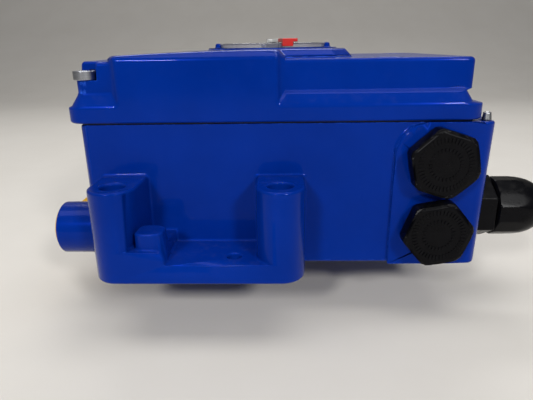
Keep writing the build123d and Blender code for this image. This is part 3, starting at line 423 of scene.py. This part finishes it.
# rounds every sharp edge, and leaves out those where the round would run away from the surface
def roundEdges(mesh, look):
    shape = cleanedShape(mesh)
    surface = BVHTree.FromBMesh(shape)
    chosen = {edge.index for edge in shape.edges
              if len(edge.link_faces) == 2 and edge.calc_face_angle(0) > math.radians(rules["sharpAngle"])}
    ends = {i: [vert.co.copy() for vert in shape.edges[i].verts] for i in chosen}
    trial = bevelled(shape, chosen, look)
    for _ in range(rules["tries"]):
        stray = {vert for vert in trial.verts
                 if surface.find_nearest(vert.co)[3] > rules["strayShare"] * look["width"]}
        roots = [edge.other_vert(vert).co.copy() for vert in stray for edge in vert.link_edges
                 if edge.other_vert(vert) not in stray]
        dropped = {i for i in chosen
                   if any(nearEdge(root, ends[i], rules["reach"] * look["width"]) for root in roots)}
        if not dropped:
            break
        chosen -= dropped
        trial.free()
        trial = bevelled(shape, chosen, look)
    many = [face for face in trial.faces if len(face.verts) > rules["quad"]]
    for face in trial.faces:
        face.smooth = True
    for face in many:
        face.smooth = face.calc_area() < rules["flatFrom"]
    bmesh.ops.triangulate(trial, faces=many)
    trial.to_mesh(mesh)
    trial.free()
    shape.free()


# large walls stay flat, and the rest is smooth up to the given angle
def smoothFaces(piece, angle=rules["smoothAngle"]):
    flat = [polygon.index for polygon in piece.data.polygons if not polygon.use_smooth]
    piece.data.shade_smooth()
    piece.data.set_sharp_from_angle(angle=math.radians(angle))
    if len(flat) < len(piece.data.polygons):
        for index in flat:
            piece.data.polygons[index].use_smooth = False
    weighted = piece.modifiers.new("faceNormals", "WEIGHTED_NORMAL")
    weighted.use_face_influence = True
    weighted.keep_sharp = True
    weighted.weight = rules["normalWeight"]


# small corrections against the photograph, in millimetres: each moves vertices along one axis by stops
# given as from and to, where the vertex lies within the given ranges
holeZone = {0: (51.9, 72.1), 1: (-47.7, -33), 2: (7.5, 55.3)}
plugShift = [
    {"axis": 0, "stops": [(50, 51.5), (80, 81.5)]},
    {"axis": 2, "stops": [(0, -2.2), (60, 57.8)]},
]
plugFits = [{"axis": 1, "stops": [(-59.4, -55.0), (-48.8, -48.8)]}] + plugShift
fits = {
    "cover": [
        {"axis": 0, "stops": [(-76.2, -77.4), (-60, -60), (60, 60), (75.2, 78.7)],
         "within": {2: (0, 65.5)}},  # the skirt
        {"axis": 0, "stops": [(-73.2, -73.1), (-60, -60), (60, 60), (72.2, 74.4)],
         "within": {2: (68.9, 200)}},
        {"axis": 1, "stops": [(-48, -48), (-45, -43.7), (-41, -41), (41, 41), (45, 43.7), (48, 48)],
         "within": {0: (0, 80), 2: (68.9, 200)}},
        {"axis": 2, "stops": [(59.2, 58.1), (65.4, 64.3), (69.0, 68.8), (80.4, 80.4), (83.8, 83.8)]},
    ],
    "cover_gasket": [
        {"axis": 2, "stops": [(57.4, 57.4), (59.2, 58.1)]},
        {"axis": 0, "stops": [(60, 60), (72.7, 76.0)]},
    ],
    "housing": [
        {"axis": 2,
         "stops": [(0, 0), (1.3, 1.3), (4.2, 2.3), (11.1, 9.8), (16.3, 14.7), (23.3, 21.2), (37.4, 37.4)],
         "within": {1: (-80, -45.9), 0: (-68, 13)}},  # the lug foot
        {"axis": 0, "stops": [(-47.8, -50.4), (-38.8, -39.8)],
         "within": {1: (-80, -52), 2: (15.5, 24), 0: (-52, -38)}},
        {"axis": 0, "stops": [(-73.7, -74.8), (-60, -60)], "within": {2: (30, 60)}},
        *[dict(fit, within=holeZone) for fit in plugShift],
        {"axis": 0, "stops": [(70, 70), (82.6, 83.5)], "within": {2: (30, 60)}},
        {"axis": 0, "stops": [(70, 70), (82.6, 82.1)], "within": {2: (-1, 12)}},
    ],
    "lock_screw": [{"axis": 0, "stops": [(70, 71.6), (90, 91.6)]}],
    "pointer_screw": [{"axis": 2, "stops": [(87.5, 87.5), (91, 88.4)]}],
    "entry_plug_lower": plugFits,
    "entry_plug_upper": plugFits,
    "plug_washers": [dict(fit, within={1: (-60, -40)}) for fit in plugShift],
    "entry_plug_side": [{"axis": 0, "stops": [(83.8, 83.8), (94.4, 90.0)]}],
    "gland_body": [{"axis": 0, "stops": [(83.8, 83.8), (90.8, 92.4)]}],
}
plugTurns = {"entry_plug_lower": 8, "entry_plug_upper": -7}  # degrees about Y
mm = 0.001


def mapped(value, stops):
    if value <= stops[0][0]:
        return value + stops[0][1] - stops[0][0]
    for (lowFrom, lowTo), (highFrom, highTo) in zip(stops, stops[1:]):
        if value <= highFrom:
            return lowTo + (value - lowFrom) / (highFrom - lowFrom) * (highTo - lowTo)
    return value + stops[-1][1] - stops[-1][0]


def fitToPhoto(mesh, nodeName):
    for vert in mesh.vertices:
        start = [v / mm for v in vert.co]
        for fit in fits.get(nodeName, []):
            ranges = fit.get("within", {})
            if all(low <= start[axis] <= high for axis, (low, high) in ranges.items()):
                vert.co[fit["axis"]] = mapped(start[fit["axis"]], fit["stops"]) * mm
    if nodeName in plugTurns:
        corners = [vert.co for vert in mesh.vertices]
        middle = Vector([(min(c[k] for c in corners) + max(c[k] for c in corners)) / 2 for k in range(3)])
        turn = Matrix.Rotation(math.radians(plugTurns[nodeName]), 4, "Y")
        mesh.transform(Matrix.Translation(middle) @ turn @ Matrix.Translation(-middle))


pointerLook = {"innerColour": "D8D8D4", "tipFrom": 0.0185, "hubShare": 0.42, "hubReach": 0.0068, "turn": 5}


# the hub is made narrower
def shapePointer(mesh):
    for vert in mesh.vertices:
        if math.hypot(vert.co.x, vert.co.y) < pointerLook["hubReach"]:
            vert.co.x *= pointerLook["hubShare"]
    mesh.transform(Matrix.Rotation(math.radians(pointerLook["turn"]), 4, "Z"))


# the arm is pale and its tip red
def makePointerFinish():
    material = makeFinish("pointerPaint", finishes["red_plastic"])
    tree = material.node_tree
    shader = tree.nodes["Principled BSDF"]
    red = shader.inputs["Base Color"].links[0].from_socket
    place = addNode(tree, "ShaderNodeTexCoord").outputs["Object"]
    away = addNode(tree, "ShaderNodeVectorMath", {0: place, 1: (1.0, 1.0, 0.0)}, operation="MULTIPLY")
    reach = addNode(tree, "ShaderNodeVectorMath", {0: away.outputs[0]}, operation="LENGTH")
    tip = addNode(tree, "ShaderNodeMath", {0: reach.outputs["Value"], 1: pointerLook["tipFrom"]},
                  operation="GREATER_THAN")
    both = blend(tree, tip.outputs[0], linear(pointerLook["innerColour"]), red)
    tree.links.new(both, shader.inputs["Base Color"])
    return material


def roundedCopy(nodeName, look):
    mesh = nodes[nodeName].data.copy()
    mesh.name = look["piece"]
    roundEdges(mesh, look)
    fitToPhoto(mesh, nodeName)
    if nodeName == "pointer":
        shapePointer(mesh)
        mesh.materials.clear()
        mesh.materials.append(makePointerFinish())
    piece = addObject(look["piece"], mesh, bodyOf(nodeName), slotOf[nodeName])
    smoothFaces(piece)
    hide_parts(nodeName)
    return piece


rounded = {nodeName: roundedCopy(nodeName, look) for nodeName, look in rounding.items()}


# the cable gland's domed nut, turned about X, in metres
nut = {
    "start": 0.0932,
    "length": 0.0198,
    "dome": 0.0125,
    "domeSteps": 14,
    "radius": 0.0126,
    "facetRadius": 0.0122,
    "facets": 12,
    "facetsBeyond": 0.0008,  # outside the mouth
    "backRim": 0.003,
    "backEdge": [(0.0, 0.0012), (0.0007, 0.0003), (0.0012, 0.0)],  # along X, and in from the radius
    "mouth": 0.0065,
    "mouthRound": (0.0004, 0.0003),
    "rim": 0.0011,
    "lip": 0.005,
    "throat": 0.0052,
    "axis": (-0.026, 0.0176),  # Y and Z
    "around": 120,
    "mergeWithin": 1e-7,
    "smoothAngle": 16,
}


# distance from the axis to a flat-sided outline at one angle
def facetReach(angle, radius, facets):
    part = 2 * math.pi / facets
    return radius / math.cos((angle + part / 2) % part - part / 2)


def nutProfile():
    tip = nut["mouth"] + nut["rim"]
    end = nut["start"] + nut["length"]
    shoulder = end - nut["dome"]
    edge = nut["radius"]
    profile = [(nut["start"], nut["mouth"] + nut["backRim"])]
    profile += [(nut["start"] + x, edge - inward) for x, inward in nut["backEdge"]]
    profile += [(shoulder, edge)]
    for k in range(1, nut["domeSteps"] + 1):
        a = math.pi / 2 * k / nut["domeSteps"]
        profile.append((shoulder + nut["dome"] * math.sin(a), tip + (edge - tip) * math.cos(a)))
    back, out = nut["mouthRound"]
    profile += [(end, nut["mouth"] + out), (end - back, nut["mouth"]), (end - nut["lip"], nut["mouth"])]
    profile += [(end - nut["lip"], nut["throat"])]
    return profile


def addGlandNut():
    shape = bmesh.new()
    centreY, centreZ = nut["axis"]
    rows = []
    for x, reach in nutProfile():
        row = []
        for k in range(nut["around"]):
            a = 2 * math.pi * k / nut["around"]
            r = reach
            if reach > nut["mouth"] + nut["facetsBeyond"]:
                r = min(reach, facetReach(a, nut["facetRadius"], nut["facets"]))
            row.append(shape.verts.new((x, centreY + r * math.cos(a), centreZ + r * math.sin(a))))
        rows.append(row)
    for near, far in zip(rows, rows[1:]):
        for k in range(nut["around"]):
            after = (k + 1) % nut["around"]
            shape.faces.new((near[k], near[after], far[after], far[k]))
    bmesh.ops.remove_doubles(shape, verts=shape.verts, dist=nut["mergeWithin"])
    bmesh.ops.recalc_face_normals(shape, faces=shape.faces)
    mesh = bpy.data.meshes.new("glandNut")
    shape.to_mesh(mesh)
    shape.free()
    piece = addObject("glandNut", mesh, bodyOf("gland_nut"), slotOf["gland_nut"])
    smoothFaces(piece, nut["smoothAngle"])
    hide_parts("gland_nut")


addGlandNut()
print("rounded copies:", len(rounded))


# rings of small ribs on the plug faces and bare ticks under the window, placed by geometry nodes:
# each ring is its radius, its count and the size of one rib

ringSets = {
    "plugRibs": {
        "slot": "black_nylon",
        "body": "housing",
        "rings": [(0.0092, 44, (0.0018, 0.0005, 0.0007)), (0.0056, 26, (0.0012, 0.0005, 0.0007))],
        "faces": [
            ((0.0635, -0.055, 0.0430), "front"),
            ((0.0635, -0.055, 0.0154), "front"),
            ((0.0900, 0.011, 0.0390), "side"),
        ],
    },
    "dialTicks": {
        "slot": "white_nylon",
        "body": "cover",
        "rings": [(0.0195, 36, (0.0022, 0.0004, 0.0001))],
        "faces": [((0.0, 0.0, 0.08425), "top")],
    },
}
facings = {
    "front": Matrix.Rotation(math.radians(90), 4, "X"),
    "side": Matrix.Rotation(math.radians(90), 4, "Y"),
    "top": Matrix.Identity(4),
}


def makeRingTree():
    tree, start, end = newGroup("ringOfRibs", "GeometryNodeTree", [
        ("Radius", "NodeSocketFloat", 0.01),
        ("Count", "NodeSocketInt", 24),
        ("Rib size", "NodeSocketVector", None),
        ("Finish", "NodeSocketMaterial", None),
    ], [("Geometry", "NodeSocketGeometry")])
    circle = addNode(tree, "GeometryNodeMeshCircle", {
        "Vertices": start.outputs["Count"], "Radius": start.outputs["Radius"]})
    rib = addNode(tree, "GeometryNodeMeshCube", {"Size": start.outputs["Rib size"]})
    place = addNode(tree, "GeometryNodeInputPosition")
    outward = addNode(tree, "FunctionNodeAlignRotationToVector", {"Vector": place.outputs["Position"]},
                      axis="X")
    copies = addNode(tree, "GeometryNodeInstanceOnPoints", {
        "Points": circle.outputs["Mesh"],
        "Instance": rib.outputs["Mesh"],
        "Rotation": outward.outputs["Rotation"],
    })
    solid = addNode(tree, "GeometryNodeRealizeInstances", {"Geometry": copies.outputs["Instances"]})
    dressed = addNode(tree, "GeometryNodeSetMaterial", {
        "Geometry": solid.outputs["Geometry"], "Material": start.outputs["Finish"]})
    tree.links.new(dressed.outputs["Geometry"], end.inputs["Geometry"])
    return tree


def ringMesh(tree, radius, count, size, slot):
    carrier = bpy.data.objects.new("ringCarrier", bpy.data.meshes.new("ringCarrier"))
    bpy.context.scene.collection.objects.link(carrier)
    modifier = carrier.modifiers.new("ring", "NODES")
    modifier.node_group = tree
    values = {"Radius": radius, "Count": count, "Rib size": size, "Finish": finishOf[slot]}
    for item in tree.interface.items_tree:
        if item.in_out == "INPUT":
            modifier[item.identifier] = values[item.name]
    graph = bpy.context.evaluated_depsgraph_get()
    mesh = bpy.data.meshes.new_from_object(carrier.evaluated_get(graph), depsgraph=graph)
    bpy.data.objects.remove(carrier)
    return mesh


def addRings(name, look, tree):
    shape = bmesh.new()
    for radius, count, size in look["rings"]:
        ring = ringMesh(tree, radius, count, size, look["slot"])
        for centre, facing in look["faces"]:
            copy = ring.copy()
            copy.transform(Matrix.Translation(centre) @ facings[facing])
            shape.from_mesh(copy)
            bpy.data.meshes.remove(copy)
        bpy.data.meshes.remove(ring)
    mesh = bpy.data.meshes.new(name)
    shape.to_mesh(mesh)
    shape.free()
    addObject(name, mesh, bodyOf(look["body"]), look["slot"])
    return len(mesh.polygons)


ringTree = makeRingTree()
for ringName, ringLook in ringSets.items():
    print(ringName, "faces:", addRings(ringName, ringLook, ringTree))


# studio: floor, lamps, world and camera

def addFloor():
    bend = studio["sweepRadius"]
    angles = [math.radians(90 * k / studio["sweepSteps"]) for k in range(studio["sweepSteps"] + 1)]
    profile = [(studio["floorFront"], 0.0)]
    profile += [(studio["floorBack"] + bend * math.sin(a), bend * (1 - math.cos(a))) for a in angles]
    profile += [(studio["floorBack"] + bend, studio["sweepTop"])]
    shape = bmesh.new()
    rows = [[shape.verts.new((side * studio["halfWidth"], y, studio["floorLevel"] + z)) for side in (-1, 1)]
            for y, z in profile]
    for near, far in zip(rows, rows[1:]):
        shape.faces.new((near[0], near[1], far[1], far[0]))
    mesh = bpy.data.meshes.new("paleFloor")
    shape.to_mesh(mesh)
    shape.free()
    mesh.shade_smooth()
    floor = bpy.data.objects.new("paleFloor", mesh)
    bpy.context.scene.collection.objects.link(floor)
    material = bpy.data.materials.new("paleFloor")
    material.use_nodes = True
    tree = material.node_tree
    shader = tree.nodes["Principled BSDF"]
    place = addNode(tree, "ShaderNodeTexCoord").outputs["Object"]
    cloud = noise(tree, place, studio["cloudScale"], 6.0, 0.6)
    tone = blend(tree, cloud, linear(studio["floorColour"]), linear(studio["cloudColour"]))
    tree.links.new(tone, shader.inputs["Base Color"])
    shader.inputs["Roughness"].default_value = studio["floorRoughness"]
    mesh.materials.append(material)


def addLamp(name, look):
    lamp = bpy.data.lights.new(name, "AREA")
    lamp.energy = look["power"]
    lamp.shape = "RECTANGLE"
    lamp.size, lamp.size_y = look["size"]
    holder = bpy.data.objects.new(name, lamp)
    bpy.context.scene.collection.objects.link(holder)
    holder.location = look["place"]
    ahead = Vector(look["target"]) - Vector(look["place"])
    holder.rotation_euler = ahead.to_track_quat("-Z", "Y").to_euler()


def addWorld():
    world = bpy.data.worlds.new("studioWorld")
    bpy.context.scene.world = world
    world.use_nodes = True
    light = world.node_tree.nodes["Background"]
    light.inputs["Color"].default_value = studio["worldColour"]
    light.inputs["Strength"].default_value = studio["worldStrength"]


def addCamera():
    camera = bpy.data.cameras.new("photoCamera")
    camera.lens = studio["cameraLens"]
    camera.sensor_width = studio["cameraSensor"]
    camera.clip_start = studio["cameraNear"]
    holder = bpy.data.objects.new("photoCamera", camera)
    bpy.context.scene.collection.objects.link(holder)
    pitch, yaw, roll = (math.radians(studio[key]) for key in ("cameraPitch", "cameraYaw", "cameraRoll"))
    ahead = Vector((-math.sin(yaw) * math.cos(pitch), math.cos(yaw) * math.cos(pitch), -math.sin(pitch)))
    level = ahead.cross(Vector((0, 0, 1))).normalized()
    rise = level.cross(ahead)
    right = level * math.cos(roll) - rise * math.sin(roll)
    up = right.cross(ahead)
    turned = Matrix((right, up, -ahead)).transposed().to_4x4()
    holder.matrix_world = Matrix.Translation(studio["cameraPlace"]) @ turned
    bpy.context.scene.camera = holder


addFloor()
for lampName, lampLook in lamps.items():
    addLamp(lampName, lampLook)
addWorld()
addCamera()
bpy.context.scene.view_settings.view_transform = "Standard"
print("studio ready")
